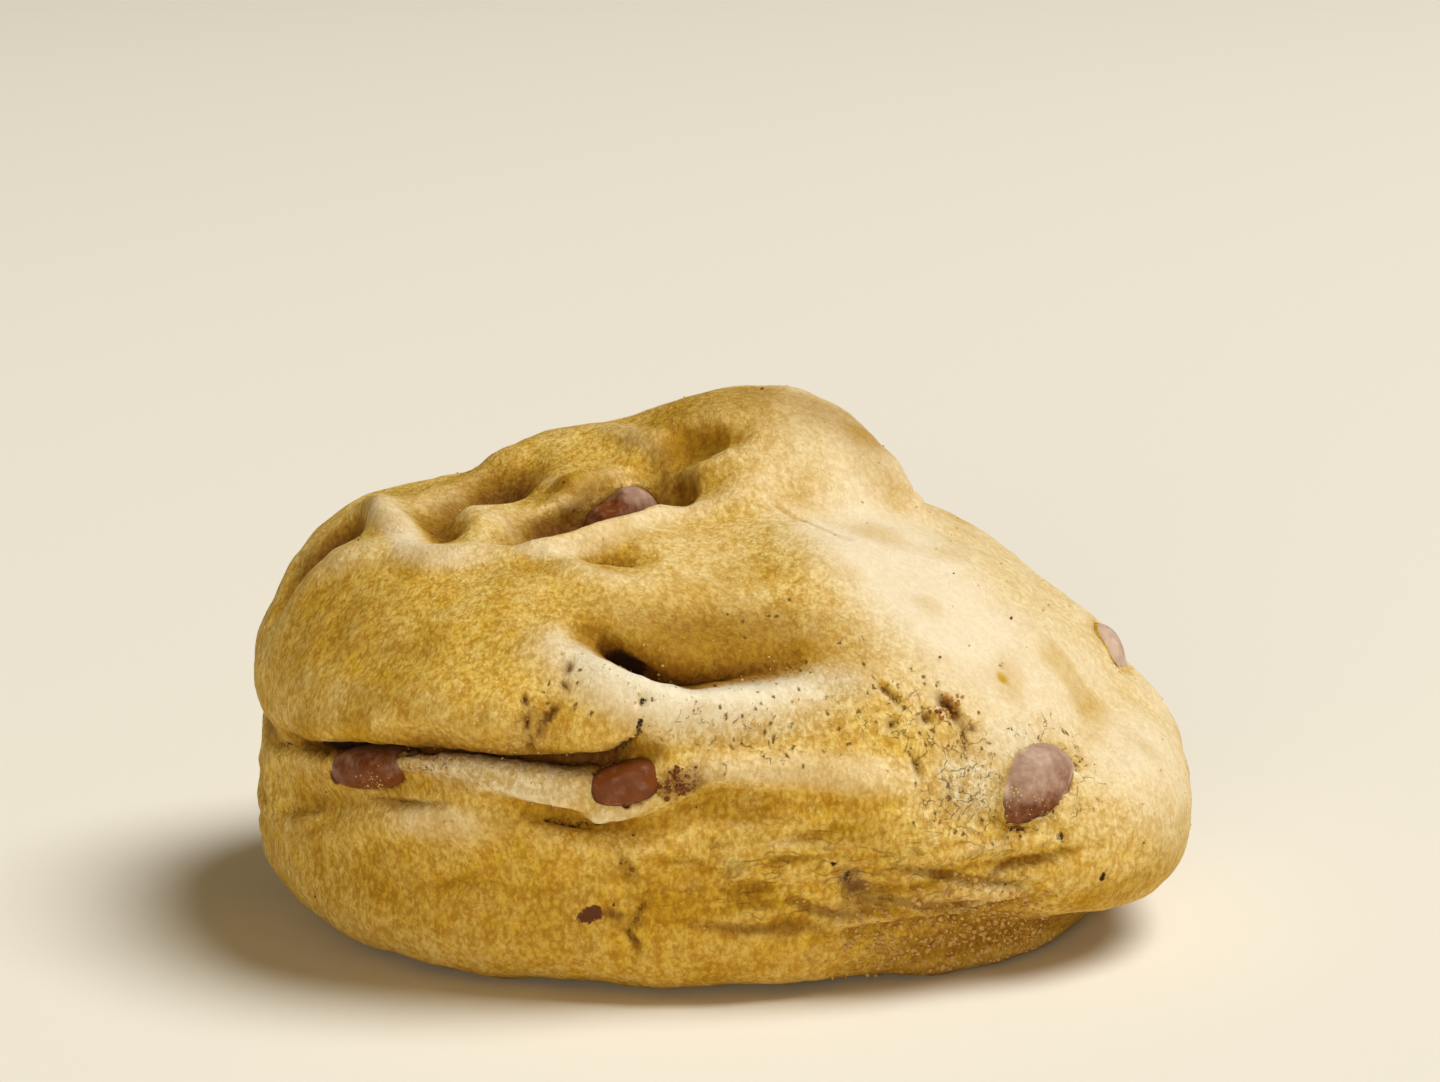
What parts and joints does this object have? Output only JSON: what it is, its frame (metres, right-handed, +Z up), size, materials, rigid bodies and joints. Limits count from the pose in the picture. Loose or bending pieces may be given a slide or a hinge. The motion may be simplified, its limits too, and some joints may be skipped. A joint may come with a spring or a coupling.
{
  "type": "chocolate chip cookie",
  "caption": "Thick mounded bakery cookie of pale golden dough, folded and dented, with milk chocolate pieces set into its crust and a flat underside.",
  "frame": {"origin": "on the flat underside, under the middle of the cookie's bounding box", "axes": "+X along the longest extent, towards the low overhanging lobe; +Z up, the shortest extent; the shown face looks along -Y"},
  "size_m": [0.0937, 0.0816, 0.0512],
  "materials": {
    "baked_dough": "matt baked crust with a fine crumb, golden with pale cream tops and a browned foot",
    "milk_chocolate": "milk chocolate, softly shining and partly dusted with crumb"
  },
  "bodies": {
    "root": {"dough": "baked_dough", "chocolate_fold_left": "milk_chocolate", "chocolate_fold_middle": "milk_chocolate", "chocolate_right": "milk_chocolate", "chocolate_bowl": "milk_chocolate", "chocolate_far_right": "milk_chocolate", "chocolate_top_back": "milk_chocolate", "chocolate_back_left": "milk_chocolate", "chocolate_back_fold": "milk_chocolate", "chocolate_back_right": "milk_chocolate", "chocolate_left": "milk_chocolate"}
  },
  "joints": []
}
